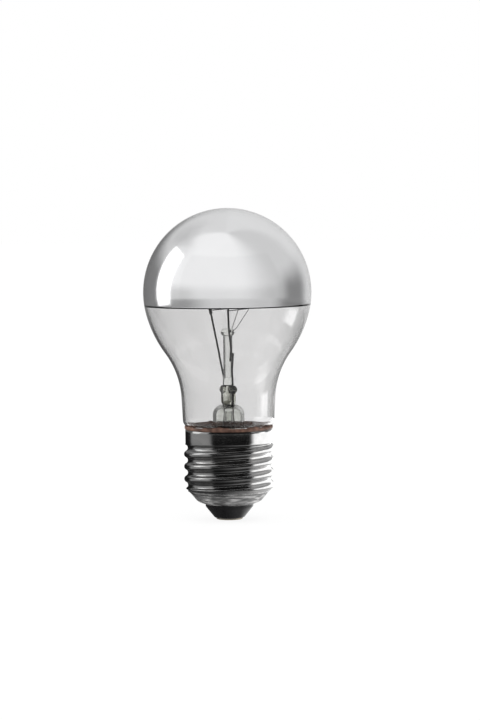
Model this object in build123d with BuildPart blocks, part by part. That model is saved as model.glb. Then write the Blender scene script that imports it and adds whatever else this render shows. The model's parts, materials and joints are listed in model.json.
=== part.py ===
from build123d import *
from math import cos, radians, sin, sqrt, tan
import os

# Silver crown bulb with a screw cap. Millimetres, +Z up.
# The origin is the centre of the flat face under the centre contact.
# +X is to the right and -Y is to the front.

# Blown glass
globe_radius = 24.5
glass_wall = 0.7
shoulder_start = 15
shoulder_radius = 34.0
flank_angle = 36
neck_angle = 3
neck_radius = 13.7
neck_length = 6.69857
neck_rise = 2.5
gather_radius = 2.0
gather_angle = 50
seat_angle = 10
seal_depth = 7.5

# Mirror on the inside of the crown
mirror_rim_drop = 3.8
mirror_thickness = 0.12
mirror_gap = 0.05

# Screw shell, a rolled sheet with a round right-hand thread
sheet = 0.25
thread_pitch = 3.629
crest_radius = 13.15
root_radius = 12.05
first_crest_height = 10.1
thread_low = 8.2
thread_high = 22.7
thread_fade = 1.5
skirt_radius = 12.7
skirt_low = 22.5
skirt_step = 0.5
shell_height = 26.5
mouth_radius = 7.2
mouth_height = 4.5
bowl_corner_radius = 9.3
bowl_corner_height = 5.35
bowl_height = 8.8
bowl_round = 2.0
step_round = 0.3

# Black glass insulator and the centre contact
insulator_tip_radius = 4.4
insulator_low = 0.5
insulator_tip_round = 0.6
insulator_neck_height = 3.9
insulator_height = 8.0
insulator_gap = 0.1
contact_radius = 3.9
contact_bevel = 0.2
shank_radius = 1.2
shank_wall = 0.25
shank_rise = 1.1
solder_height = 1.1

# Cement between the glass and the cap
cement_lap = 0.3
cement_inner = 9.0
cement_radius = 13.15
cement_widest_rise = 1.2
cement_rise = 1.7
cement_top_radius = 12.9

# Stem: flare, pinch, exhaust tube and arbor
flare_radius = 4.6
flare_wall = 0.9
flare_top = 32.6
flare_round = 1.8
trumpet_height = 25.5
lip_width = 1.0
stem_turn = -43.8
pinch_width = 4.8
pinch_thickness = 2.6
pinch_round = 1.0
pinch_height = 37.6
bead_width = 5.6
bead_thickness = 3.4
bead_height = 39.3
bead_corner = 1.6
bead_bevel = 0.5
exhaust_radius = 1.4
exhaust_bore = 0.8
exhaust_low = 12.5
exhaust_hole_radius = 0.6
exhaust_hole_height = 34.0
exhaust_hole_tilt = 35
arbor_radius = 1.35
button_radius = 2.0
button_half_height = 1.1
button_round = 1.0
button_height = 54.7

# Wire sizes
lead_radius = 0.28
lead_spacing = 3.6
lead_bend = 3.0
clamp_width = 0.9
clamp_thickness = 0.6
clamp_length = 1.4
clamp_past = 0.4
seal_wire_radius = 0.2
seal_wire_low = 31.2
outer_lead_radius = 0.15
support_wire_radius = 0.1
hook_gap = 0.1
hook_rise = 0.9
filament_radius = 0.16
filament_bend = 0.4

# Places of the mount, as (right, back, up)
left_clamp = (-5.0, 0.0, 61.1)
right_clamp = (0.2, -5.0, 61.1)
left_lead_bend = (-1.25, 1.15, 41.5)
right_lead_bends = ((0.35, -4.2, 55.8), (0.92, -3.1, 50.0))
right_lead_splice = (0.62, -2.75, 46.6)
lower_lead_bend = (1.17, -1.9, 44.0)
lower_lead_splice = (1.5, -2.95, 48.8)
support_tips = {"support_wire_back": (3.0, 5.0), "support_wire_right": (5.7, 1.0)}
support_height = 61.4
support_root = 0.8
support_rim = 2.4
support_rim_rise = 0.9
side_lead_angle = 60
wire_clearance = 0.04
outer_lead_drop = 1.7

os.makedirs("parts", exist_ok=True)


def write(part, name):
    """Label a finished piece and write it as one STEP file."""
    part.label = name
    export_step(part, f"parts/{name}.step")
    solids = part.solids()
    print(name, "solids", len(solids), "volume", round(part.volume, 2))


# The glass envelope. Its outline is a chain of tangent arcs from the crown
# down to the neck, which is gathered in over the cap's rim. Its length follows
# from the neck and the arcs.
neck_end_height = shell_height + neck_rise
seal_height = shell_height - seal_depth
flank_radius = (
    globe_radius * cos(radians(shoulder_start))
    - shoulder_radius * (cos(radians(shoulder_start)) - cos(radians(flank_angle)))
)
neck_curve = (flank_radius - neck_radius) / (cos(radians(neck_angle)) - cos(radians(flank_angle)))
globe_height = (
    neck_end_height
    + neck_length
    + neck_curve * (sin(radians(flank_angle)) - sin(radians(neck_angle)))
    + shoulder_radius * (sin(radians(flank_angle)) - sin(radians(shoulder_start)))
    + globe_radius * sin(radians(shoulder_start))
)
bulb_length = globe_height + globe_radius


def glass_outline():
    """The outside of the glass from the crown to the end of the gathered neck."""
    crown = JernArc((0, bulb_length), (1, 0), globe_radius, -(90 + shoulder_start))
    shoulder = JernArc(crown @ 1, crown % 1, shoulder_radius, shoulder_start - flank_angle)
    neck = JernArc(shoulder @ 1, shoulder % 1, neck_curve, flank_angle - neck_angle)
    tube_end = (neck @ 1) - Vector(neck_length * tan(radians(neck_angle)), neck_length)
    Line(neck @ 1, tube_end)
    turn_in = JernArc(tube_end, neck % 1, gather_radius, neck_angle - gather_angle)
    turn_down = JernArc(turn_in @ 1, turn_in % 1, gather_radius, gather_angle - seat_angle)
    seat_drop = (turn_down @ 1).Y - seal_height
    seal = (turn_down @ 1) - Vector(seat_drop * tan(radians(seat_angle)), seat_drop)
    Line(turn_down @ 1, seal)
    return seal


with BuildPart() as glass_blank:
    with BuildSketch(Plane.XZ):
        with BuildLine():
            seal_edge = glass_outline()
            Line(seal_edge, (0, seal_height))
            Line((0, seal_height), (0, bulb_length))
        make_face()
    revolve(axis=Axis.Z)

seal_radius = seal_edge.X

with BuildPart() as glass_envelope:
    add(glass_blank.part)
    offset(amount=-glass_wall, openings=glass_envelope.faces().sort_by(Axis.Z)[0])

write(glass_envelope.part, "glass_envelope")

# The silver crown, a thin bowl of mirror lying on the inside of the glass.
mirror_radius = globe_radius - glass_wall - mirror_gap
mirror_rim_height = globe_height - mirror_rim_drop

with BuildPart() as silver_crown:
    with Locations((0, 0, globe_height)):
        Sphere(mirror_radius)
        Sphere(mirror_radius - mirror_thickness, mode=Mode.SUBTRACT)
    split(bisect_by=Plane.XY.offset(mirror_rim_height), keep=Keep.TOP)

write(silver_crown.part, "silver_crown")

# The screw shell. Its thread is the knuckle form: arcs of one radius that
# meet halfway down each flank. The cut across such a thread is a closed
# curve, which turns once for each pitch as it rises.
half_pitch = thread_pitch / 2
thread_depth = crest_radius - root_radius
knuckle_arc = (half_pitch**2 + thread_depth**2) / (4 * thread_depth)
section_points = 20


def thread_radius(along):
    """Radius of the thread at a distance along the axis from a crest."""
    if abs(along) < half_pitch / 2:
        return crest_radius - knuckle_arc + sqrt(knuckle_arc**2 - along**2)
    return root_radius + knuckle_arc - sqrt(knuckle_arc**2 - (half_pitch - abs(along)) ** 2)


def thread_section(height):
    """The closed curve that the thread makes on a level plane."""
    points = []
    for step in range(section_points):
        angle = 360 * step / section_points
        rise = height - first_crest_height - thread_pitch * angle / 360
        along = (rise + half_pitch) % thread_pitch - half_pitch
        radius = thread_radius(along)
        points.append((radius * cos(radians(angle)), radius * sin(radians(angle)), height))
    return Face(Wire([Edge.make_spline([Vector(*point) for point in points], periodic=True)]))


def threaded_core():
    """A solid round core with the thread on it, fading out at both ends."""
    rise = thread_high - thread_low
    turned = Solid.extrude_linear_with_rotation(
        thread_section(thread_low),
        (0, 0, thread_low),
        (0, 0, rise),
        360 * rise / thread_pitch,
    )
    low_radius = root_radius - thread_depth / 2
    high_radius = skirt_radius - sheet
    full_radius = crest_radius + sheet
    with BuildPart() as core:
        with BuildSketch(Plane.XZ):
            with BuildLine():
                Polyline(
                    (0, thread_low),
                    (low_radius, thread_low),
                    (full_radius, thread_low + thread_fade),
                    (full_radius, thread_high - thread_fade),
                    (high_radius, thread_high),
                    (0, thread_high),
                    close=True,
                )
            make_face()
        revolve(axis=Axis.Z)
        add(turned, mode=Mode.INTERSECT)
    return core.part


def shell_outline():
    """The outside of the plain shell from its mouth to its rim, without the thread."""
    return FilletPolyline(
        (mouth_radius, mouth_height),
        (bowl_corner_radius, bowl_corner_height),
        (root_radius, bowl_height),
        (root_radius, skirt_low - skirt_step),
        (skirt_radius, skirt_low),
        (skirt_radius, shell_height),
        radius=(bowl_round, bowl_round, step_round, step_round),
    )


with BuildPart() as plain_shell:
    with BuildSketch(Plane.XZ):
        with BuildLine():
            shell_outline()
            offset(amount=sheet, side=Side.LEFT)
        make_face()
    revolve(axis=Axis.Z)

with BuildPart() as shell_filled:
    with BuildSketch(Plane.XZ):
        with BuildLine():
            wall_line = shell_outline()
            Line(wall_line @ 1, (0, shell_height))
            Line((0, shell_height), (0, mouth_height))
            Line((0, mouth_height), wall_line @ 0)
        make_face()
    revolve(axis=Axis.Z)

with BuildPart() as shell_hollow:
    add(shell_filled.part)
    add(plain_shell.part, mode=Mode.SUBTRACT)

with BuildPart() as screw_shell:
    add(shell_filled.part)
    add(threaded_core())
    add(shell_hollow.part, mode=Mode.SUBTRACT)

write(screw_shell.part, "screw_shell")


# The insulator, black glass melted into the bowl of the shell. It stands
# out of the shell's mouth as a cone.
neck_radius_low = mouth_radius - 2 * insulator_gap

with BuildPart() as bowl_glass:
    add(shell_hollow.part)
    split(bisect_by=Plane.XY.offset(insulator_height), keep=Keep.BOTTOM)

with BuildPart() as insulator:
    with BuildSketch(Plane.XZ):
        with BuildLine():
            FilletPolyline(
                (0, insulator_low),
                (insulator_tip_radius, insulator_low),
                (neck_radius_low, insulator_neck_height),
                (neck_radius_low, mouth_height + sheet),
                radius=(insulator_tip_round, insulator_tip_round),
            )
            Polyline(
                (neck_radius_low, mouth_height + sheet),
                (0, mouth_height + sheet),
                (0, insulator_low),
            )
        make_face()
    revolve(axis=Axis.Z)
    add(bowl_glass.part)
    with Locations((0, 0, insulator_height)):
        Hole(shank_radius)

write(insulator.part, "insulator")

# The centre contact, a brass disc with a short hollow shank in the glass.
shank_bore = shank_radius - shank_wall

with BuildPart() as centre_contact:
    with BuildSketch():
        Circle(contact_radius)
        Circle(shank_bore, mode=Mode.SUBTRACT)
    extrude(amount=insulator_low)
    low_rims = centre_contact.edges().group_by(Axis.Z)[0]
    chamfer(low_rims.sort_by(SortBy.RADIUS)[-1], length=contact_bevel)
    with BuildSketch(Plane.XY.offset(insulator_low)):
        Circle(shank_radius)
        Circle(shank_bore, mode=Mode.SUBTRACT)
    extrude(amount=shank_rise)

write(centre_contact.part, "centre_contact")

# The stem. The flare is a tube that opens like a trumpet to meet the glass
# neck, and is closed above by the flat pinch that holds the wires.
roof_height = flare_top - flare_wall
lip_radius = seal_radius - lip_width

stem_plane = Plane.XY.rotated((0, 0, stem_turn))
lead_places = [(-lead_spacing / 2, 0), (lead_spacing / 2, 0)]

tilt = radians(exhaust_hole_tilt)
exhaust_plane = Plane(
    origin=(0, 0, exhaust_hole_height),
    x_dir=stem_plane.x_dir,
    z_dir=stem_plane.z_dir * sin(tilt) - stem_plane.y_dir * cos(tilt),
)

with BuildPart() as pinch_bead:
    with BuildSketch(stem_plane.offset(pinch_height)):
        RectangleRounded(bead_width, bead_thickness, bead_corner)
    extrude(amount=bead_height - pinch_height)
    bead_rims = pinch_bead.edges().group_by(Axis.Z)
    chamfer(bead_rims[0] + bead_rims[-1], length=bead_bevel)

with BuildPart() as stem_flare:
    with BuildSketch(Plane.XZ):
        with BuildLine():
            roof = Line((0, flare_top), (flare_radius - flare_round, flare_top))
            turn = JernArc(roof @ 1, roof % 1, flare_round, -90)
            Polyline(
                turn @ 1,
                (flare_radius, trumpet_height),
                (lip_radius, seal_height),
                (seal_radius, seal_height),
            )
            offset(amount=flare_wall, side=Side.RIGHT)
        make_face()
    revolve(axis=Axis.Z)
    with BuildSketch(stem_plane.offset(roof_height)):
        RectangleRounded(pinch_width, pinch_thickness, pinch_round)
    extrude(amount=bead_height - roof_height)
    add(pinch_bead.part)
    with BuildSketch(stem_plane.offset(roof_height)):
        Circle(exhaust_hole_radius)
    extrude(amount=exhaust_hole_height - roof_height, mode=Mode.SUBTRACT)
    with BuildSketch(exhaust_plane):
        Circle(exhaust_hole_radius)
    extrude(amount=pinch_thickness, mode=Mode.SUBTRACT)
    with BuildSketch(stem_plane.offset(roof_height)):
        with Locations(*lead_places):
            Circle(seal_wire_radius)
    extrude(amount=bead_height - roof_height, mode=Mode.SUBTRACT)

write(stem_flare.part, "stem_flare")

# The exhaust tube, melted shut at its lower end.
with BuildPart() as exhaust_tube:
    with BuildSketch(Plane.XZ):
        with BuildLine():
            Polyline(
                (0, exhaust_low),
                (exhaust_bore / 2, exhaust_low),
                (exhaust_radius, exhaust_low + exhaust_radius),
                (exhaust_radius, roof_height),
                (exhaust_bore, roof_height),
                (exhaust_bore, exhaust_low + 2 * exhaust_radius),
                (0, exhaust_low + exhaust_radius),
                close=True,
            )
        make_face()
    revolve(axis=Axis.Z)

write(exhaust_tube.part, "exhaust_tube")


def at_angle(radius, angle, height):
    """A point at a radius and an angle around the axis."""
    return Vector(radius * cos(radians(angle)), radius * sin(radians(angle)), height)


def wire(points, radius, bend=None):
    """A round wire of straight runs, joined by tangent arcs or else by sharp bends."""
    with BuildPart() as piece:
        with BuildLine() as path:
            if bend:
                FilletPolyline(*points, radius=bend)
            else:
                Polyline(*points)
        with BuildSketch(Plane(origin=path.line @ 0, z_dir=path.line % 0)):
            Circle(radius)
        sweep(path=path.line, transition=Transition.TRANSFORMED if bend else Transition.RIGHT)
    return piece.part


# The filament runs from clamp to clamp over the two supports. Its coil is
# drawn as a plain round wire of the coil's outer size.
support_points = [Vector(*tip, support_height) for tip in support_tips.values()]
filament_points = [Vector(*left_clamp), *support_points, Vector(*right_clamp)]

with BuildPart() as filament:
    add(wire(filament_points, filament_radius, filament_bend))

write(filament.part, "filament")

# The support wires stand in the button and end in a hook round the filament.
hook_reach = filament_radius + support_wire_radius + hook_gap
up = Vector(0, 0, 1)
supports = {}
for name, tip in support_tips.items():
    outward = Vector(*tip).normalized()
    hold = Vector(*tip, support_height)
    support_path = [
        outward * support_root + up * button_height,
        outward * support_rim + up * (button_height + support_rim_rise),
        hold - up * hook_rise,
        hold + (outward - up) * hook_reach,
        hold + (outward + up) * hook_reach,
        hold - (outward - up) * hook_reach,
        hold - outward * hook_reach,
    ]
    with BuildPart() as support:
        add(wire(support_path, support_wire_radius))
    supports[name] = support.part
    write(support.part, name)

# The arbor, a glass rod on the pinch. Its end is pressed into a button.
with BuildPart() as arbor_rod:
    with Locations((0, 0, bead_height)):
        Cylinder(
            arbor_radius,
            button_height - bead_height,
            align=(Align.CENTER, Align.CENTER, Align.MIN),
        )
    with BuildSketch(Plane.XZ):
        with Locations((0, button_height)):
            RectangleRounded(2 * button_radius, 2 * button_half_height, button_round)
        split(bisect_by=Plane.YZ, keep=Keep.TOP)
    revolve(axis=Axis.Z)
    for support in supports.values():
        add(support, mode=Mode.SUBTRACT)

write(arbor_rod.part, "arbor_rod")

# The leads inside the glass. Each ends in a clamp pressed round the filament,
# and the right one is welded from two pieces that lie side by side.
pinch_exits = [stem_plane.from_local_coords(Vector(x, y, bead_height)) for x, y in lead_places]


def clamp(tip, toward):
    """The pressed flat end of a lead, from just past the tip down along the lead."""
    along = (Vector(*toward) - Vector(*tip)).normalized()
    with BuildPart() as piece:
        with BuildSketch(Plane(origin=Vector(*tip) - along * clamp_past, z_dir=along)):
            Rectangle(clamp_width, clamp_thickness)
        extrude(amount=clamp_length)
    return piece.part


with BuildPart() as lead_wire_left:
    add(wire([pinch_exits[0], left_lead_bend, left_clamp], lead_radius, lead_bend))
    add(clamp(left_clamp, left_lead_bend))
    add(filament.part, mode=Mode.SUBTRACT)

write(lead_wire_left.part, "lead_wire_left")

with BuildPart() as lead_wire_right_upper:
    add(wire([right_clamp, *right_lead_bends, right_lead_splice], lead_radius, lead_bend))
    add(clamp(right_clamp, right_lead_bends[0]))
    add(filament.part, mode=Mode.SUBTRACT)

write(lead_wire_right_upper.part, "lead_wire_right_upper")

with BuildPart() as lead_wire_right_lower:
    add(wire([pinch_exits[1], lower_lead_bend, lower_lead_splice], lead_radius, lead_bend))

write(lead_wire_right_lower.part, "lead_wire_right_lower")

# The seal wires lie in the pinch, where the glass has to grip them.
for name, (right, back) in zip(("seal_wire_left", "seal_wire_right"), lead_places):
    with BuildPart() as seal_wire:
        with BuildSketch(stem_plane.offset(seal_wire_low)):
            with Locations((right, back)):
                Circle(seal_wire_radius)
        extrude(amount=bead_height - seal_wire_low)
    write(seal_wire.part, name)

# The outer leads. One goes down through the insulator to the centre contact,
# and one turns up between the glass and the shell and lies on the cap's rim.
seal_ends = [stem_plane.from_local_coords(Vector(x, y, seal_wire_low)) for x, y in lead_places]
flare_clear = (flare_radius - flare_wall + exhaust_radius) / 2
left_angle = stem_turn + 180
outer_lead_height = seal_height - outer_lead_drop
glass_lip_radius = seal_radius + outer_lead_radius + wire_clearance
rim_run = (shell_height - seal_height) * tan(radians(seat_angle))
rim_top = shell_height + outer_lead_radius

centre_route = [
    seal_ends[0],
    at_angle(flare_clear, left_angle, trumpet_height),
    at_angle(flare_clear, left_angle, exhaust_low),
    Vector(0, 0, insulator_height + shank_rise),
    Vector(0, 0, insulator_low),
]
side_route = [
    seal_ends[1],
    at_angle(flare_clear, stem_turn, trumpet_height),
    at_angle(flare_clear, stem_turn, outer_lead_height),
    at_angle(glass_lip_radius, side_lead_angle, outer_lead_height),
    at_angle(glass_lip_radius + rim_run, side_lead_angle, rim_top),
    at_angle(skirt_radius, side_lead_angle, rim_top),
]

with BuildPart() as outer_lead_centre:
    add(wire(centre_route, outer_lead_radius))

write(outer_lead_centre.part, "outer_lead_centre")

with BuildPart() as outer_lead_side:
    add(wire(side_route, outer_lead_radius))

write(outer_lead_side.part, "outer_lead_side")

with BuildPart() as centre_solder:
    Cylinder(shank_bore, solder_height, align=(Align.CENTER, Align.CENTER, Align.MIN))
    add(outer_lead_centre.part, mode=Mode.SUBTRACT)

write(centre_solder.part, "centre_solder")

# The cement fills the space between the glass neck and the shell, and swells
# out over the rim.
cement_low = skirt_low + cement_lap

with BuildPart() as cement_ring:
    with BuildSketch(Plane.XY.offset(cement_low)):
        Circle(crest_radius)
        Circle(cement_inner, mode=Mode.SUBTRACT)
    extrude(amount=shell_height - cement_low)
    add(shell_hollow.part, mode=Mode.INTERSECT)
    with BuildSketch(Plane.XZ):
        with BuildLine():
            Polyline(
                (cement_inner, shell_height),
                (skirt_radius, shell_height),
                (cement_radius, shell_height + cement_widest_rise),
                (cement_top_radius, shell_height + cement_rise),
                (cement_inner, shell_height + cement_rise),
                close=True,
            )
        make_face()
    revolve(axis=Axis.Z)
    add(glass_blank.part, mode=Mode.SUBTRACT)
    add(outer_lead_side.part, mode=Mode.SUBTRACT)

write(cement_ring.part, "cement_ring")
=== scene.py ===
# %% [markdown]
# # A silver crown bulb
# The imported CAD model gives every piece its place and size. This script loads
# it as a fixed frame, then gives each piece the finish of the real one. The
# pieces whose surface matters most are made again as fine smooth meshes: the
# glass, its stem, the mirror, the screw shell, its black tip, the cement and
# the filament.

# %% Load the frame
import json
import math

import bmesh
import bpy
from mathutils import Matrix, Quaternion, Vector, noise


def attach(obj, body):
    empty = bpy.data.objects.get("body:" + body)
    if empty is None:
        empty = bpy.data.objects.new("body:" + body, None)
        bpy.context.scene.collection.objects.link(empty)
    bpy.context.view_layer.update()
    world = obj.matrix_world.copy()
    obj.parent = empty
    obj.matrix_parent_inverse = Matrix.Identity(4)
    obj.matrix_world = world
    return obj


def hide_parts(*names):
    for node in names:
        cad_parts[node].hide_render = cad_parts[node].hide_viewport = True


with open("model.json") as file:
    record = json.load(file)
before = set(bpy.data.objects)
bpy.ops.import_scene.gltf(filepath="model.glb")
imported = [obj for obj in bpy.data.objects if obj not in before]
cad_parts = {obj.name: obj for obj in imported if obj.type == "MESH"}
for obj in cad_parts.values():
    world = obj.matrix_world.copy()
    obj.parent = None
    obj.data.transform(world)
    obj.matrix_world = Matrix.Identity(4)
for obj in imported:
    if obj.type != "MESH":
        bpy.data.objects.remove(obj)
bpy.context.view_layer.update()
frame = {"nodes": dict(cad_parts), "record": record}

nodes = frame["nodes"]

# %% [markdown]
# ## Sizes
# The sizes repeat those of the CAD source, in millimetres, because the
# script can't read that file. They are turned into metres where a mesh is made.
# A hair is what one piece reaches into another where the two are stuck together.

# %% Sizes
MM = 0.001
BULB_LENGTH = 90.8
GLOBE_RADIUS = 24.5
GLASS_WALL = 0.7
NECK_RADIUS = 13.7
NECK_END = 29.0
SEAL_HEIGHT = 19.0
MIRROR_RIM = 62.5
PITCH = 3.629
CREST = 13.15
ROOT = 12.05
SHEET = 0.25
SKIRT = 12.7
SHELL_TOP = 26.5
MOUTH_RADIUS = 7.2
MOUTH_HEIGHT = 4.5
HAIR = 0.02
print("Globe", 2 * GLOBE_RADIUS, "mm across, thread", 2 * CREST, "mm over its crests")

# %% [markdown]
# ## Shader maths as plain Python
# A material is a graph of nodes, and wiring them one by one hides the idea.
# A small class wraps one output socket and turns Python's operators into Math
# nodes, so a mask can be written as 1 - dust * 0.3. One method adds any other
# node from its type, its settings and what goes into its sockets.


# %% A socket that does maths
def opaque(colour):
    """A colour with its alpha. Anything else comes back as it is."""
    return (*colour, 1) if isinstance(colour, tuple) and len(colour) == 3 else colour


class Value:
    """An output socket of a node tree. Operators on it add Math nodes."""

    def __init__(self, tree, socket=None):
        self.tree = tree
        self.socket = socket

    def node(self, kind, settings=None, inputs=None, output=0):
        """Add a node: its settings first, then its inputs as values or links."""
        made = self.tree.nodes.new(kind)
        for key, value in (settings or {}).items():
            setattr(made, key, value)
        for key, value in (inputs or {}).items():
            if isinstance(value, Value):
                self.tree.links.new(value.socket, made.inputs[key])
            else:
                made.inputs[key].default_value = value
        return Value(self.tree, made.outputs[output] if made.outputs else None)

    def maths(self, operation, *others):
        """A Math node on this socket, with other numbers or sockets after it."""
        inputs = dict(enumerate((self, *others)))
        return self.node("ShaderNodeMath", {"operation": operation}, inputs)

    def __add__(self, other):
        return self.maths("ADD", other)

    def __sub__(self, other):
        return self.maths("SUBTRACT", other)

    def __rsub__(self, other):
        return self.maths("MULTIPLY_ADD", -1, other)

    def __mul__(self, other):
        return self.maths("MULTIPLY", other)

    def __truediv__(self, other):
        return self.maths("DIVIDE", other)

    __radd__ = __add__
    __rmul__ = __mul__

    def step(self, low, high):
        """0 below low, 1 above high and a smooth rise between. High may be below low."""
        settings = {"interpolation_type": "SMOOTHSTEP"}
        return self.node("ShaderNodeMapRange", settings, {0: self, 1: low, 2: high})

    def mix(self, first, second):
        """The first colour where this is 0, the second where it is 1."""
        ends = {0: self, 6: opaque(first), 7: opaque(second)}
        return self.node("ShaderNodeMix", {"data_type": "RGBA"}, ends, output=2)


print("Value offers node, maths, step and mix, and the operators + - * /")

# %% [markdown]
# ## What every finish starts from
# A finish needs a place on the piece and some noise. Object coordinates are
# in metres here, because every object sits at the origin, so a noise scale of
# 1000 gives marks of about a millimetre.


# %% Start and finish a material
def start(name):
    """A new material's graph, empty, with its object coordinates and their parts."""
    material = bpy.data.materials.new(name)
    material.use_nodes = True
    material.node_tree.nodes.clear()
    graph = Value(material.node_tree)
    place = graph.node("ShaderNodeTexCoord", output="Object")
    return material, graph, place


def noise_at(place, scale, detail=4.0, stretch=None):
    """Cloud noise from 0 to 1 at a scale per metre, stretched along an axis if asked."""
    if stretch:
        place = place.node("ShaderNodeMapping", None, {"Vector": place, "Scale": stretch})
    inputs = {"Vector": place, "Scale": scale, "Detail": detail}
    return place.node("ShaderNodeTexNoise", {"noise_dimensions": "3D"}, inputs)


def parts(place):
    """The three coordinates of a place: to the right, to the back and up."""
    kind, inputs = "ShaderNodeSeparateXYZ", {0: place}
    return [place.node(kind, None, inputs, output=axis) for axis in range(3)]


def height_of(place):
    """The height over the origin, in metres."""
    return parts(place)[2]


def bumps(height, distance, strength=1.0):
    """Small relief from a height between 0 and 1, this far in metres."""
    inputs = {"Strength": strength, "Distance": distance, "Height": height}
    return height.node("ShaderNodeBump", None, inputs)


def finish(material, graph, **inputs):
    """Close the graph with one Principled surface. Underscores stand for spaces."""
    named = {key.replace("_", " "): opaque(value) for key, value in inputs.items()}
    surface = graph.node("ShaderNodeBsdfPrincipled", None, named)
    graph.node("ShaderNodeOutputMaterial", None, {"Surface": surface})
    return material


print("Blender", bpy.app.version_string)

# %% [markdown]
# ## Turning a piece
# A bulb is nearly all turned shapes. Its outline is drawn as a lathe's tool
# would move: straight runs and tangent arcs. Each arc is itself a spin of one
# vertex about the arc's centre, and one full spin of the outline about Z makes
# the piece.


# %% A pen that draws an outline
WELD = 0.001 * MM


class Outline:
    """A chain of edges in the XZ plane, drawn from a start point in millimetres."""

    def __init__(self, radius, height):
        self.mesh = bmesh.new()
        self.tip = self.mesh.verts.new((radius * MM, 0, height * MM))

    def line(self, radius, height, pieces=1):
        """A straight run to a point, in equal pieces."""
        start, end = self.tip.co.copy(), Vector((radius * MM, 0, height * MM))
        for piece in range(1, pieces + 1):
            joint = self.mesh.verts.new(start.lerp(end, piece / pieces))
            self.mesh.edges.new((self.tip, joint))
            self.tip = joint
        return self

    def arc(self, centre, angle, pieces):
        """An arc about a centre, in degrees. It runs outwards and down where positive."""
        spun = bmesh.ops.spin(
            self.mesh, geom=[self.tip], cent=(centre[0] * MM, 0, centre[1] * MM),
            axis=(0, 1, 0), angle=math.radians(angle), steps=pieces,
        )
        self.tip = next(e for e in spun["geom_last"] if isinstance(e, bmesh.types.BMVert))
        return self

    def close(self):
        """Join the tip back to the first vertex."""
        self.mesh.verts.ensure_lookup_table()
        self.mesh.edges.new((self.tip, self.mesh.verts[0]))
        return self

    def join(self):
        """Merge a tip that came back to the first vertex with it."""
        bmesh.ops.remove_doubles(self.mesh, verts=self.mesh.verts, dist=WELD)
        return self


def placed(name, data):
    """A new object in the scene with this data, at the origin."""
    made = bpy.data.objects.new(name, data)
    bpy.context.scene.collection.objects.link(made)
    return made


def from_mesh(mesh, name, material):
    """Turn a bmesh into an object of one material."""
    data = bpy.data.meshes.new(name)
    mesh.to_mesh(data)
    mesh.free()
    data.materials.append(material)
    return placed(name, data)


def shown(mesh, name, material, node):
    """Show a bmesh as a smooth piece in a CAD node's place, on the one body."""
    piece = from_mesh(mesh, name, material)
    piece.data.shade_smooth()
    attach(piece, "root")
    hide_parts(node)
    print(name, len(piece.data.polygons), "faces")
    return piece


def turn(outline, steps):
    """Spin an outline once round Z, merge its seam and poles, and face it outwards."""
    mesh = outline.mesh
    bmesh.ops.spin(
        mesh, geom=mesh.verts[:] + mesh.edges[:], cent=(0, 0, 0), axis=(0, 0, 1),
        angle=math.tau, steps=steps, use_merge=True,
    )
    bmesh.ops.remove_doubles(mesh, verts=mesh.verts, dist=WELD)
    bmesh.ops.recalc_face_normals(mesh, faces=mesh.faces)
    return mesh


trial = Outline(1, 2).line(3, 2, 4)
print("A trial outline has", len(trial.mesh.edges), "edges")
trial.mesh.free()

# %% [markdown]
# ## The glass
# The envelope is blown in a mould: a globe, a shoulder that bends the other
# way, and a neck gathered in where the cap goes on. Clear glass shows only
# what it reflects and bends, so its curve must be smooth, which is why it is
# spun in 192 steps. Below the mirror the glass carries a painted grey shade,
# which stands for the grey that the glass shows of its surroundings, so its
# colour changes at that height. The painted shade is weaker to the right, where
# more light falls.


# %% Clear glass
GREY_EDGE = 0.7


def clear_glass():
    """Bulb glass with a painted grey shade below the mirror's rim, setting in within GREY_EDGE of
    it, and lighter to the right.
    """
    material, graph, place = start("clear_glass")
    x, _, z = parts(place)
    cloud = noise_at(place, 60.0, 2.0)
    # Painted shade: the grey below the rim stands for the surroundings seen through the glass.
    below_rim = z.step((MIRROR_RIM + GREY_EDGE) * MM, (MIRROR_RIM - GREY_EDGE) * MM)
    # Painted light: the shade is lighter to the right, where brighter light falls on the glass.
    painted_shade_leftward = 1 - 0.22 * x.step(-2 * MM, 14 * MM)
    grey = below_rim * (0.92 + cloud * 0.16) * painted_shade_leftward
    smear = noise_at(place, 25.0, 3.0, (1.0, 1.0, 0.4))
    return finish(
        material, graph,
        Base_Color=grey.mix((0.985, 0.987, 0.988), (0.832, 0.829, 0.829)),
        Roughness=smear.step(0.55, 0.8) * 0.02, IOR=1.5, Transmission_Weight=1.0,
    )


glass = clear_glass()
print("The glass is", glass.name)

# %% Bends and runs that go on from the tip
def tangent_centre(point, heading, radius):
    """The centre of an arc that leaves a point with a heading, degrees below level."""
    turn_to = math.radians(heading)
    return (point[0] - radius * math.sin(turn_to), point[1] - radius * math.cos(turn_to))


def tip_of(outline):
    """The outline's tip in millimetres."""
    return outline.tip.co.x / MM, outline.tip.co.z / MM


def straight_down(outline, height, lean, pieces):
    """A run down to a height that leans inwards by so many degrees."""
    radius, top = tip_of(outline)
    outline.line(radius - (top - height) * math.tan(math.radians(lean)), height, pieces)


def bend(outline, heading, radius, angle, pieces):
    """An arc that goes on from the tip's heading. Its sign says which way it bends."""
    outline.arc(tangent_centre(tip_of(outline), heading, radius), angle, pieces)


print("A bend that starts level at (0, 1) turns about", tangent_centre((0, 1), 0, 1))

# %% The envelope
GLOBE_HEIGHT = BULB_LENGTH - GLOBE_RADIUS
CEMENT_TOP = 27.5
# Headings along the outline, in degrees below level.
GLOBE_END = 105
FLANK = 126
GATHER = 140
# How far the straight runs lean inwards on their way down, in degrees.
NECK_LEAN = 3
SEAL_LEAN = 10
# Radii of the bends.
FLANK_CURVE = 34.0
GATHER_CURVE = 2.0

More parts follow.
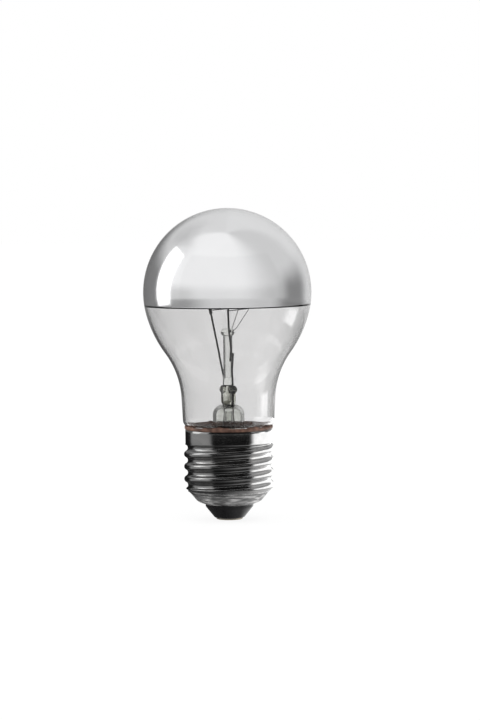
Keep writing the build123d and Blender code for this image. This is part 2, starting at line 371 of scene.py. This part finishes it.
envelope = Outline(0, BULB_LENGTH)
envelope.arc((0, GLOBE_HEIGHT), GLOBE_END, 70)
bend(envelope, GLOBE_END, FLANK_CURVE, FLANK - GLOBE_END, 16)
flank_x = tip_of(envelope)[0]
narrowing = math.cos(math.radians(NECK_LEAN)) - math.cos(math.radians(FLANK - 90))
neck_curve = (flank_x - NECK_RADIUS) / narrowing
bend(envelope, FLANK, -neck_curve, 90 + NECK_LEAN - FLANK, 24)
straight_down(envelope, NECK_END, NECK_LEAN, 6)
bend(envelope, 90 + NECK_LEAN, GATHER_CURVE, GATHER - 90 - NECK_LEAN, 10)
bend(envelope, GATHER, -GATHER_CURVE, 90 + SEAL_LEAN - GATHER, 8)
straight_down(envelope, SEAL_HEIGHT, SEAL_LEAN, 4)
low_verts = [vertex for vertex in envelope.mesh.verts if vertex.co.z < CEMENT_TOP * MM]
neck_line = [(vertex.co.x / MM, vertex.co.z / MM) for vertex in low_verts]
neck_line.sort(key=lambda point: point[1])
bulb = shown(turn(envelope, 192), "glass_bulb", glass, "glass_envelope")
wall = bulb.modifiers.new("wall", "SOLIDIFY")
wall.thickness = GLASS_WALL * MM
wall.offset = -1
wall.use_even_offset = True

# %% [markdown]
# ## The mirror
# The crown is silvered on the inside, as a film on the glass. It is turned as
# a thin bowl whose outside lies a hair within the glass, because a gap of air
# there would shine by itself. Fine silver is nearly white and very smooth, and
# only a faint cloudiness tells it from chrome.


# %% The silver crown
def silver():
    """Bright film, a little cloudy."""
    material, graph, place = start("crown_silver")
    cloud = noise_at(place, 90.0, 3.0)
    fine = noise_at(place, 900.0, 2.0)
    return finish(
        material, graph,
        Base_Color=cloud.mix((0.93, 0.93, 0.935), (0.89, 0.89, 0.9)),
        Metallic=1.0, Roughness=0.07 + cloud * 0.05,
        Normal=bumps(fine, 0.002 * MM),
    )


FILM = 0.12
mirror_outer = GLOBE_RADIUS - GLASS_WALL + HAIR
mirror_inner = mirror_outer - FILM
rim_drop = GLOBE_HEIGHT - MIRROR_RIM
outer_angle, inner_angle = (
    90 + math.degrees(math.asin(rim_drop / radius)) for radius in (mirror_outer, mirror_inner)
)
crown = Outline(0, GLOBE_HEIGHT + mirror_outer)
crown.arc((0, GLOBE_HEIGHT), outer_angle, 70)
crown.line(math.sqrt(mirror_inner**2 - rim_drop**2), MIRROR_RIM)
crown.arc((0, GLOBE_HEIGHT), -inner_angle, 70)
shown(turn(crown, 160), "mirror_crown", silver(), "silver_crown")

# %% [markdown]
# ## The screw shell
# The cap is one thin sheet, drawn and then rolled so that a round thread
# stands out of it. A plain lathe shape is spun with many rings where the thread
# is, and each ring's vertices are then moved out to the thread's radius at
# their own angle. That is what the rolling wheel does to the sheet.

# %% Where the thread lies
FIRST_CREST = 10.1
THREAD_LOW = 8.2
THREAD_HIGH = 22.7
FADE = 1.5
DEPTH = CREST - ROOT
HALF_PITCH = PITCH / 2
KNUCKLE = (HALF_PITCH**2 + DEPTH**2) / (4 * DEPTH)
LOW_START = ROOT - DEPTH / 2
HIGH_START = SKIRT - SHEET


def thread_radius(angle, height):
    """The thread's radius in millimetres, at an angle in radians and a height."""
    rise = height - FIRST_CREST - PITCH * angle / math.tau
    along = abs((rise + HALF_PITCH) % PITCH - HALF_PITCH)
    if along < HALF_PITCH / 2:
        full = CREST - KNUCKLE + math.sqrt(KNUCKLE**2 - along**2)
    else:
        full = ROOT + KNUCKLE - math.sqrt(KNUCKLE**2 - (HALF_PITCH - along) ** 2)
    fading_in = (height - THREAD_LOW) / FADE
    fading_out = (THREAD_HIGH - height) / FADE
    low_limit = LOW_START + (CREST + SHEET - LOW_START) * fading_in
    high_limit = HIGH_START + (CREST + SHEET - HIGH_START) * fading_out
    return max(ROOT, min(full, low_limit, high_limit))


print("Radius at a crest", round(thread_radius(0, FIRST_CREST), 3))

# %% Worn plated sheet with a painted sheen
# Up to this height the plating is scuffed and also carries a painted sheen of the floor.
SCUFF_AND_SHEEN_TO = 8.0
SCUFF_AND_SHEEN_EDGE = 1.0


def plated_sheet():
    """Dark plating, clean on the thread, and pale under it where it is partly worn to scars and
    partly given a painted sheen.
    """
    material, graph, place = start("cap_plating")
    scuffed_and_sheen = height_of(place).step((SCUFF_AND_SHEEN_TO + SCUFF_AND_SHEEN_EDGE) * MM, SCUFF_AND_SHEEN_TO * MM)
    patch = noise_at(place, 220.0, 5.0)
    scar = noise_at(place, 300.0, 4.0, (1.0, 1.0, 5.0))
    streak = noise_at(place, 900.0, 3.0, (1.0, 1.0, 0.12))
    scratch = noise_at(place, 1500.0, 2.0, (0.25, 0.25, 1.0))
    # worn holds both the real wear and the painted sheen of the pale floor.
    worn = scuffed_and_sheen * (0.35 + patch.step(0.3, 0.7) * 0.65)
    clean = patch.step(0.35, 0.75).mix((0.30, 0.30, 0.30), (0.38, 0.375, 0.37))
    rough = 0.12 + patch * 0.10 + streak.step(0.5, 0.8) * 0.08 + worn * 0.3
    relief = scratch * 0.5 + worn * streak
    # The pale scars are partly real wear and partly a painted reflection of the pale floor that
    # the cone under the thread faces.
    bare_metal_and_sheen = scar.step(0.38, 0.64).mix((0.28, 0.28, 0.28), (0.92, 0.91, 0.90))
    return finish(
        material, graph,
        Base_Color=worn.mix(clean, bare_metal_and_sheen), Metallic=1 - worn * 0.55, Roughness=rough,
        Normal=bumps(relief, 0.01 * MM),
    )


print("The plating is worn through up to", SCUFF_AND_SHEEN_TO, "mm")

# %% The shell
SKIRT_LOW = 22.6
RIM_ROUND = 0.1
shell = Outline(MOUTH_RADIUS, MOUTH_HEIGHT)
shell.line(8.9, 5.18, 3).line(9.55, 5.6, 2).line(11.6, 8.05, 8).line(ROOT, THREAD_LOW + 0.1, 2)
shell.line(ROOT, THREAD_HIGH - 0.7, 96).line(12.4, 22.25, 2).line(SKIRT, SKIRT_LOW, 2)
shell.line(SKIRT, SHELL_TOP - RIM_ROUND, 6).line(SKIRT - RIM_ROUND, SHELL_TOP, 2)
shell.line(SKIRT - SHEET, SHELL_TOP).line(SKIRT - SHEET, SKIRT_LOW)
shell.line(ROOT - SHEET, SKIRT_LOW - 0.6).line(ROOT - SHEET, 9.0).line(9.3, 5.75)
shell.line(MOUTH_RADIUS, MOUTH_HEIGHT + SHEET).close()
shell_mesh = turn(shell, 192)
moved = 0
for vertex in shell_mesh.verts:
    radius = vertex.co.xy.length / MM
    height = vertex.co.z / MM
    if radius > ROOT - HAIR and THREAD_LOW < height < THREAD_HIGH:
        angle = math.atan2(vertex.co.y, vertex.co.x) % math.tau
        wanted = max(radius, thread_radius(angle, height))
        vertex.co.xy *= wanted / radius
        moved += 1
print("Rolled", moved, "vertices out to the thread")
shown(shell_mesh, "cap_shell", plated_sheet(), "screw_shell")

# %% [markdown]
# ## The black tip
# Black glass is melted into the bowl of the cap and pressed to a cone round
# the contact. It is opaque and glossy, with small flow ripples.


# %% The insulator
def black_glass():
    """Opaque black glass with soft ripples."""
    material, graph, place = start("black_glass")
    ripple = noise_at(place, 260.0, 3.0)
    return finish(
        material, graph,
        Base_Color=ripple.mix((0.008, 0.008, 0.009), (0.02, 0.019, 0.02)),
        Roughness=0.08 + ripple * 0.14, IOR=1.5,
        Normal=bumps(ripple, 0.06 * MM),
    )


WIRE_HOLE = 1.25
TIP_LOW = 0.5
TIP_INSIDE = 8.0
TIP_RADIUS = 7.0
tip = Outline(WIRE_HOLE, TIP_LOW)
tip.line(4.2, TIP_LOW, 6).line(4.45, 0.62).line(6.85, 3.6, 10).line(TIP_RADIUS, 3.9)
tip.line(TIP_RADIUS, 4.75).line(9.2, 5.7, 2).line(11.6, TIP_INSIDE)
tip.line(WIRE_HOLE, TIP_INSIDE).close()
shown(turn(tip, 96), "black_tip", black_glass(), "insulator")

# %% [markdown]
# ## The cement
# The glass is stuck into the cap with a resin cement that is baked till it is
# hard. It swells out in the heat, so its edge over the cap's rim is never
# even. A turned ring is pushed in and out by noise. It wets the glass, so its
# inside lies a hair within it. Its faint glow stands for the daylight that comes
# through the glass, which lamps can't give here.


# %% The cement ring
def baked_cement():
    """Grainy red-brown resin that glows faintly."""
    material, graph, place = start("baked_cement")
    grain = noise_at(place, 700.0, 5.0)
    patch = noise_at(place, 130.0, 3.0)
    colour = (grain * 0.6 + patch * 0.4).step(0.35, 0.65)
    return finish(
        material, graph,
        Base_Color=colour.mix((0.060, 0.030, 0.020), (0.20, 0.11, 0.078)),
        Emission_Color=colour.mix((0.020, 0.009, 0.006), (0.07, 0.035, 0.024)),
        Emission_Strength=0.6,
        Roughness=0.45 + grain * 0.3,
        Normal=bumps(grain, 0.12 * MM),
    )


CEMENT_LOW = 23.0
WETTED = 0.05
LIP_LOW = 26.6
LIP_INNER = 12.6
SWELL = 0.8
against_glass = [
    (radius - WETTED, height) for radius, height in neck_line if height > CEMENT_LOW
]
collar = Outline(*against_glass[0])
collar.line(11.7, against_glass[0][1], 2).line(12.4, 23.4, 2).line(12.42, 26.5, 4)
collar.line(12.72, 26.54, 2).line(12.9, 26.8, 3).line(12.88, 27.2, 3)
collar.line(12.74, CEMENT_TOP, 2)
for radius, height in reversed(against_glass):
    collar.line(radius, height)
collar_mesh = turn(collar.join(), 180)
for vertex in collar_mesh.verts:
    lift = vertex.co.z / MM - LIP_LOW
    if lift > 0 and vertex.co.xy.length > LIP_INNER * MM:
        spot = Vector((vertex.co.x, vertex.co.y, 0)) / MM
        swell = noise.noise(spot * 0.16) + 0.5 * noise.noise(spot * 0.6)
        vertex.co.z += SWELL * swell * MM * min(lift, 1)
        bulge = 0.008 * noise.noise(spot * 0.9 + Vector((0, 0, 7)))
        vertex.co.xy *= 1 + bulge * min(lift, 1)
shown(collar_mesh, "cement_collar", baked_cement(), "cement_ring")

# %% [markdown]
# ## The filament
# The filament is a fine tungsten wire wound into a close coil. The coil is a
# screw: a small ring, the wire's section, spun round the coil's axis while it
# moves along it. Each straight run between two holders is one such screw.


# %% The coil
def tungsten():
    """Dull dark wire."""
    material, graph, place = start("tungsten")
    tone = noise_at(place, 4000.0, 2.0)
    colour = tone.mix((0.16, 0.16, 0.17), (0.3, 0.3, 0.31))
    return finish(material, graph, Base_Color=colour, Metallic=1.0, Roughness=0.35 + tone * 0.15)


HOLDS = [(-5.0, 0.0, 61.1), (3.0, 5.0, 61.4), (5.7, 1.0, 61.4), (0.2, -5.0, 61.1)]
COIL = 0.12
STRAND = 0.035
TURN = 0.14
coil = bmesh.new()
for first, last in zip(HOLDS, HOLDS[1:]):
    run = Vector(last) - Vector(first)
    turns = round(run.length / TURN)
    steps = turns * 10
    section = bmesh.ops.create_circle(coil, radius=STRAND * MM, segments=5)["verts"]
    upright = Matrix.Translation((COIL * MM, 0, 0)) @ Matrix.Rotation(math.pi / 2, 4, "X")
    bmesh.ops.transform(coil, matrix=upright, verts=section)
    rim = list({edge for vertex in section for edge in vertex.link_edges})
    bmesh.ops.spin(
        coil, geom=section + rim, cent=(0, 0, 0), axis=(0, 0, 1),
        dvec=(0, 0, run.length * MM / steps), angle=math.tau * turns, steps=steps,
    )
    made = [vertex for vertex in coil.verts if not vertex.tag]
    turn_to_run = run.to_track_quat("Z", "Y").to_matrix().to_4x4()
    to_run = Matrix.Translation(Vector(first) * MM) @ turn_to_run
    bmesh.ops.transform(coil, matrix=to_run, verts=made)
    for vertex in coil.verts:
        vertex.tag = True
bmesh.ops.recalc_face_normals(coil, faces=coil.faces)
shown(coil, "coiled_filament", tungsten(), "filament")

# %% [markdown]
# ## The mount and the small metal
# The CAD pieces that are left have the right shapes and keep them. Each gets
# its own finish. The stem's is a softer glass than the bulb's, a little green,
# and the right half of its pinch carries painted shade, with a painted dark line
# where the tube's hole opens. The leads are dark grey drawn wire, and the wires
# sealed in the pinch are browner.


# %% Finishes for the stem and the CAD pieces
PINCH_LOW = 33.4
PINCH_HIGH = 39.2
# Height and slope of the painted shade line where the exhaust tube's hole opens.
HOLE_LINE_HEIGHT = 34.3
HOLE_LINE_SLOPE = 0.45


def stem_glass():
    """Greenish glass, darker in the pinch, with painted shade on the pinch's right half and a
    painted dark line where the tube's hole is.
    """
    material, graph, place = start("stem_glass")
    cloud = noise_at(place, 400.0, 2.0)
    ripple = noise_at(place, 300.0, 2.0, (1.0, 1.0, 0.3))
    x, _, z = parts(place)
    blur = 0.4
    above = z.step((PINCH_LOW - blur) * MM, (PINCH_LOW + blur) * MM)
    pinch = above * z.step((PINCH_HIGH + blur) * MM, (PINCH_HIGH - blur) * MM)
    # Painted shade: a dark oblique line where the exhaust tube's hole opens in the pinch.
    off_hole_line = (z - HOLE_LINE_HEIGHT * MM - x * HOLE_LINE_SLOPE).maths("ABSOLUTE")
    hole_shade = off_hole_line.step(0.6 * MM, 0.3 * MM)
    hole_shade = hole_shade * x.step(-1.4 * MM, -1.0 * MM) * x.step(1.0 * MM, 0.6 * MM)
    # Painted shade on the right half of the pinch.
    shade = pinch * x.step(0.1 * MM, 0.8 * MM) * (0.6 + 0.4 * cloud.step(0.35, 0.6))
    shade = shade.maths("MAXIMUM", hole_shade)
    clear = cloud.mix((0.84, 0.85, 0.82), (0.90, 0.91, 0.89))
    pressed = pinch.mix(clear, (0.62, 0.63, 0.57))
    return finish(
        material, graph,
        Base_Color=shade.mix(pressed, (0.10, 0.10, 0.075)),
        Roughness=cloud.step(0.6, 0.9) * 0.04, IOR=1.53, Transmission_Weight=1.0,
        Normal=bumps(ripple, 0.05 * MM),
    )


def drawn_wire(name, dark, light, roughness):
    """Metal wire with the faint lines of the drawing die along it."""
    material, graph, place = start(name)
    line = noise_at(place, 3000.0, 2.0, (1.0, 1.0, 0.1))
    return finish(
        material, graph,
        Base_Color=line.mix(dark, light), Metallic=1.0, Roughness=roughness + line * 0.12,
        Normal=bumps(line, 0.004 * MM),
    )


def solder_metal():
    """Pale dull solder with a grainy skin."""
    material, graph, place = start("solder_metal")
    grain = noise_at(place, 1800.0, 3.0)
    return finish(
        material, graph,
        Base_Color=grain.mix((0.40, 0.40, 0.41), (0.58, 0.58, 0.6)), Metallic=1.0,
        Roughness=0.3 + grain * 0.25, Normal=bumps(grain, 0.03 * MM),
    )


print("The pinch is coloured from", PINCH_LOW, "to", PINCH_HIGH, "mm")

# %% Give them out
finishes = {"stem_glass": stem_glass(), "solder": solder_metal()}
for name, dark, light, roughness in (
    ("lead_metal", (0.025, 0.025, 0.025), (0.075, 0.075, 0.075), 0.42),
    ("copper_wire", (0.09, 0.075, 0.065), (0.16, 0.13, 0.11), 0.4),
    ("support_metal", (0.22, 0.22, 0.22), (0.36, 0.36, 0.36), 0.35),
    ("contact_metal", (0.24, 0.21, 0.17), (0.38, 0.34, 0.28), 0.35),
):
    finishes[name] = drawn_wire(name, dark, light, roughness)
replaced = (
    "glass_envelope", "silver_crown", "screw_shell", "insulator",
    "cement_ring", "filament", "stem_flare",
)
for subpart in frame["record"]["subparts"]:
    name = subpart["node"]
    if name in replaced:
        continue
    slots = nodes[name].material_slots
    for slot in slots:
        slot.material = finishes[subpart["material_slot"]]
    print(name, "has", len(slots), "slot of", subpart["material_slot"])

# %% [markdown]
# ## The stem
# The flare is a glass bell with a wall, closed above by the pinch. The pinch was
# pressed while it was soft, so its edges are round and it swells into a lobe
# round each lead. It stands askew, so the camera sees it at an angle.

# %% The bell
BELL_TOP = 33.6
BELL_RADIUS = 4.6
BELL_ROUND = 3.0
BELL_WALL = 0.9
round_centre = (BELL_RADIUS - BELL_ROUND, BELL_TOP - BELL_ROUND)
bore = BELL_RADIUS - BELL_WALL
bell = Outline(0, BELL_TOP)
bell.line(round_centre[0], BELL_TOP, 2).arc(round_centre, 90, 12)
bell.line(BELL_RADIUS, 25.5, 3).line(4.9, 24.3).line(5.6, 22.9).line(9.66, SEAL_HEIGHT, 3)
bell.line(10.6, SEAL_HEIGHT).line(10.6, 18.1).line(9.0, 18.4).line(4.7, 22.6, 3).line(4.0, 24.0)
bell.line(bore, 25.2).line(bore, round_centre[1], 3).arc(round_centre, -90, 12)
bell.line(0, BELL_TOP - BELL_WALL, 2)
stem = turn(bell, 96)
print("The bell has", len(stem.faces), "faces")

# %% The pinch and its lobes
PINCH_TURN = -43.8
PINCH_SIZE = (4.6, 2.5, 6.0)
PINCH_MIDDLE = 36.4
LOBE_RADIUS = 1.3
LOBE_OUT = 1.8
LOBE_HEIGHT = 38.05
turned = Matrix.Rotation(math.radians(PINCH_TURN), 4, "Z")
box = bmesh.ops.create_cube(stem, size=MM)["verts"]
shape = Matrix.Translation((0, 0, PINCH_MIDDLE * MM)) @ turned @ Matrix.Diagonal((*PINCH_SIZE, 1))
bmesh.ops.transform(stem, matrix=shape, verts=box)
rims = list({edge for vertex in box for edge in vertex.link_edges})
bmesh.ops.bevel(
    stem, geom=rims, offset=1.0 * MM, segments=5, profile=0.5,
    affect="EDGES", material=-1, clamp_overlap=True,
)
for out in (-LOBE_OUT, LOBE_OUT):
    lobe = turned @ Matrix.Translation((out * MM, 0, LOBE_HEIGHT * MM))
    bmesh.ops.create_uvsphere(
        stem, u_segments=28, v_segments=18, radius=LOBE_RADIUS * MM, matrix=lobe
    )
shown(stem, "stem_bell", finishes["stem_glass"], "stem_flare")

# %% [markdown]
# ## The camera
# The photograph is taken from a little above, with a long lens, and the bulb
# leans a hair to the left in it. The camera rolls by that much instead, and the
# bulb stays upright in its frame.

# %% The camera
PIXELS_PER_MM = 3.43
PICTURE_HEIGHT = 720
SENSOR = 36
DISTANCE = 0.75
EYE_HEIGHT = 0.096
ROLL = -0.6


def look(item, eye, target):
    """Put a camera or a lamp at a place and turn it to a target."""
    item.location = eye
    item.rotation_mode = "QUATERNION"
    item.rotation_quaternion = (Vector(target) - Vector(eye)).to_track_quat("-Z", "Y")


aim = Vector((0.0035, 0, 0.0465))
eye = Vector((aim.x, -math.sqrt(DISTANCE**2 - (EYE_HEIGHT - aim.z) ** 2), EYE_HEIGHT))
lens = bpy.data.cameras.new("camera")
lens.sensor_width = SENSOR
lens.lens = SENSOR * DISTANCE / (PICTURE_HEIGHT / PIXELS_PER_MM * MM)
camera = placed("camera", lens)
look(camera, eye, aim)
camera.rotation_quaternion @= Quaternion((0, 0, 1), math.radians(ROLL))
bpy.context.scene.camera = camera
bpy.context.scene.view_settings.view_transform = "Standard"
print("Lens", round(lens.lens, 1), "mm")

# %% [markdown]
# ## The studio
# The floor and the room are white to the camera, and to the rays that come by
# way of metal or glass. The floor keeps part of its own shading, so the bulb's
# shadow stays on it. Polished metal only looks like metal if it has something
# dark to show, so a few cards stand round the bulb, hidden from the camera.


# %% Room and floor
FLOOR_SINK = 0.0002
OWN_WHITE = 0.8


def light_path(graph, *outputs):
    """What is known of the ray that meets the surface."""
    path = graph.tree.nodes.new("ShaderNodeLightPath")
    return [Value(graph.tree, path.outputs[name]) for name in outputs]


def seen(graph):
    """1 for rays straight from the camera or by way of metal or glass."""
    kinds = ("Is Camera Ray", "Is Glossy Ray", "Is Transmission Ray")
    direct, reflected, passed = light_path(graph, *kinds)
    return direct.maths("MAXIMUM", reflected).maths("MAXIMUM", passed)


def emission(graph, strength):
    """White light of this strength."""
    inputs = {"Color": (1, 1, 1, 1), "Strength": strength}
    return graph.node("ShaderNodeEmission", None, inputs)


def mixed_surface(graph, share, first, second):
    """Close the graph with one shader where the share is 0 and another where it is 1."""
    mixed = graph.node("ShaderNodeMixShader", None, {0: share, 1: first, 2: second})
    graph.node("ShaderNodeOutputMaterial", None, {"Surface": mixed})


world = bpy.data.worlds.new("studio")
bpy.context.scene.world = world
world.use_nodes = True
world.node_tree.nodes.clear()
room = Value(world.node_tree)
daylight = {"Color": (1, 1, 1, 1), "Strength": 0.75 + seen(room) * 0.25}
sky = room.node("ShaderNodeBackground", None, daylight)
room.node("ShaderNodeOutputWorld", None, {"Surface": sky})

floor_mesh = bmesh.new()
bmesh.ops.create_grid(floor_mesh, x_segments=1, y_segments=1, size=4.0)
floor_material, floor_graph, _ = start("studio_floor")
paper = floor_graph.node("ShaderNodeBsdfDiffuse", None, {"Color": (0.85, 0.85, 0.85, 1)})
mixed_surface(floor_graph, seen(floor_graph) * OWN_WHITE, paper, emission(floor_graph, 1.1))
floor = from_mesh(floor_mesh, "floor", floor_material)
floor.location.z = -FLOOR_SINK
print("Floor", [round(v, 2) for v in floor.dimensions])

# %% [markdown]
# ## The cards
# Each card is a sheet that glows with its own grey, as paper does beside a
# lamp. The cards of the room show in reflections, to the rays that run along
# inside the glass wall at the bulb's outline, and to the rays that the stem's
# glass has bent aside. The cards near the cap show only to rays that come
# straight off the cap or the neck of the glass, and only from nearby. Everything
# else sees the plain white room, from every side.


# %% A card's material
DOME = 0.6
DOME_HEIGHT = 0.066
ONE_OR_TWO = (1.5, 0.6)
SIX_OR_MORE = 5.5
BLACK = 0.02


def glow(graph, tone, place, reach):
    """A glow to reflected rays. Without a reach it also lights edge-on and bent rays."""
    depths = ("Glossy Depth", "Transmission Depth", "Ray Length")
    glossy, passed, length = light_path(graph, *depths)
    reflected = glossy.maths("GREATER_THAN", 0.5)
    strength = tone(place)
    if reach is None:
        x, y, z = parts(place)
        others = 1 - reflected
        edge_on = others * passed.maths("COMPARE", *ONE_OR_TWO)
        through_stem = others * passed.maths("GREATER_THAN", SIX_OR_MORE)
        through_stem = through_stem * z.step(0.001, 0.002)
        strength = strength * reflected + edge_on * (0.16 + 0.84 * x.step(-0.12, 0.10))
        strength = strength + through_stem * (0.04 + 0.96 * (y / DOME).step(0.82, 0.96))
        shown_to = reflected + edge_on + through_stem
    else:
        shown_to = reflected * passed.maths("LESS_THAN", 0.5)
        strength = BLACK + strength * length.step(1.15 * reach, reach)
    clear = graph.node("ShaderNodeBsdfTransparent")
    mixed_surface(graph, shown_to, clear, emission(graph, strength))


print("Rays through glass count as edge-on after one or two surfaces")


# %% A card in its place
def stand(mesh, name, tone, reach=None):
    """Put up a card whose grey follows from the place. Its light may reach so far only."""
    material, graph, place = start(name)
    glow(graph, tone, place, reach)
    sheet = from_mesh(mesh, name, material)
    sheet.visible_camera = False
    sheet.visible_diffuse = False
    sheet.visible_shadow = False
    sheet.visible_transmission = reach is None
    print(name, "stands", [round(v, 3) for v in sheet.dimensions], "m")


def band(first_edge, last_edge, first, last, steps=48):
    """A band spun round Z from one (radius, height) to another, in degrees from the front."""
    mesh = bmesh.new()
    ends = [mesh.verts.new((0, -radius, height)) for radius, height in (first_edge, last_edge)]
    mesh.edges.new(ends)
    bmesh.ops.rotate(mesh, matrix=Matrix.Rotation(math.radians(first), 3, "Z"), verts=mesh.verts)
    bmesh.ops.spin(
        mesh, geom=mesh.verts[:] + mesh.edges[:], cent=(0, 0, 0), axis=(0, 0, 1),
        angle=math.radians(last - first), steps=steps,
    )
    return mesh


def azimuth(x, y):
    """The angle round Z in degrees, 0 in front, positive to the right."""
    return x.maths("ARCTAN2", 0 - y) * (180 / math.pi)


trial_band = band((1, 0), (1, 1), 0, 90, 4)
print("A trial band has", len(trial_band.faces), "faces")
trial_band.free()

# %% [markdown]
# The mirror shows the whole room, so a dome round the bulb carries the room's
# tones by direction: pale in front and above, grey at the right, dark low down
# at the far left and far right. A table does the same for what lies below.

# %% Cards that the mirror shows
def dome_tone(place):
    """The room's grey by direction, less what is dark in each part of it."""
    x, y, z = parts(place)
    angle = azimuth(x, y)
    rise = (z - DOME_HEIGHT) / DOME
    right = 0.30 * angle.step(15, 75) - 0.12 * angle.step(112, 138)
    right_low = 0.42 * angle.step(68, 98) * angle.step(150, 118) * rise.step(0.45, 0.05)
    behind = 0.22 * angle.step(-95, -120)
    left_low = 0.54 * angle.step(-106, -116) * angle.step(-180, -160) * rise.step(0.60, 0.20)
    in_front = angle.step(-100, -86) * angle.step(90, 60)
    low = rise.step(0.24, 0.0) * in_front * (0.14 + 0.16 * angle.step(-35, -62))
    cloud = noise_at(place, 9.0, 3.0)
    smudge = angle.step(-165, -135) * angle.step(-66, -100)
    smudge = smudge * rise.step(0.48, 0.62) * rise.step(0.92, 0.78)
    return 0.97 - right - right_low - behind - left_low - low - 0.34 * smudge * cloud


def table_tone(place):
    """The table's grey by direction, darker near the bulb."""
    x, y, _ = parts(place)
    angle = azimuth(x, y)
    away = (x * x + y * y).maths("SQRT")
    left = 0.34 * angle.step(-15, -62)
    right = 0.08 * angle.step(15, 50) + 0.36 * angle.step(58, 92) * angle.step(150, 118)
    far_left = 0.14 * angle.step(-100, -116)
    near = 0.18 * away.step(1.1, 0.3)
    return 0.86 - near - left - right - far_left


LOW_EDGE = 0.0004
centre = Matrix.Translation((0, 0, DOME_HEIGHT))
dome = bmesh.new()
bmesh.ops.create_uvsphere(dome, u_segments=48, v_segments=24, radius=DOME, matrix=centre)
stand(dome, "card_dome", dome_tone)
stand(band((0.08, LOW_EDGE), (1.4, LOW_EDGE), -180, 180), "card_table", table_tone)

# %% [markdown]
# The cap shows a low band of the room only, so a ring of card close round it sets
# its tones: black in front, grey at the left, black behind the left edge and
# bright at the right, where the photograph is nearly white. A strip of light
# further out draws the bright line down the right of the glass neck.


# %% Cards that the cap shows
def ring_tone(place):
    """Grey at the left, and bright at the right to rays that come in squarely."""
    x, y, _ = parts(place)
    angle = azimuth(x, y)
    grey = angle.step(-110, -100) * angle.step(-36, -46)
    facing = place.node("ShaderNodeLayerWeight", None, {"Blend": 0.5}, output=1)
    bright = angle.step(50, 64) * angle.step(160, 140) * facing.step(0.24, 0.12)
    return 0.52 * grey + 3.0 * bright


def shade_tone(place):
    """Nearly black, a little paler with height."""
    return height_of(place) * 0.1


def below_tone(place):
    """Nearly black under the cap, and paler to the right."""
    x, y, _ = parts(place)
    angle = azimuth(x, y)
    return 0.06 + 0.26 * angle.step(-25, 40) + 0.6 * angle.step(42, 80)


def strip_tone(place):
    """A tall soft light at the right, which the neck shows as a bright line."""
    _, y, z = parts(place)
    across = y.step(-0.024, 0.004) * y.step(0.036, 0.022)
    return 4.5 * across * z.step(0.013, 0.019) * z.step(0.046, 0.034)


RING = 0.042
SHADE = 0.040
STRIP = 0.10
stand(band((RING, LOW_EDGE), (RING, 0.0255), -172, 160), "card_ring", ring_tone, 0.040)
stand(band((SHADE, 0.027), (SHADE, 0.10), -48, 56), "card_shade", shade_tone, 0.10)
stand(band((0.0042, 0.0001), (0.30, 0.0008), -180, 180), "card_below", below_tone, 0.10)
stand(band((STRIP, 0.005), (STRIP, 0.05), 60, 115), "card_strip", strip_tone, 0.16)


# %% Lamps
def softbox(name, centre, target, width, height, radiance):
    """A rectangular lamp of a given brightness. Its watts follow from its area."""
    data = bpy.data.lights.new(name, "AREA")
    data.shape = "RECTANGLE"
    data.size, data.size_y = width, height
    data.energy = radiance * math.pi * width * height
    lamp = placed(name, data)
    look(lamp, centre, target)
    print(name, round(data.energy, 2), "W")
    return lamp


softbox("softbox_left", (-0.30, 0.035, 0.13), (0, 0, 0.06), 0.15, 0.34, 1.3)
overhead = softbox("softbox_top", (0.10, -0.50, 0.90), (0, 0, 0.05), 0.6, 0.5, 1.2)
overhead.visible_glossy = False
overhead.visible_transmission = False
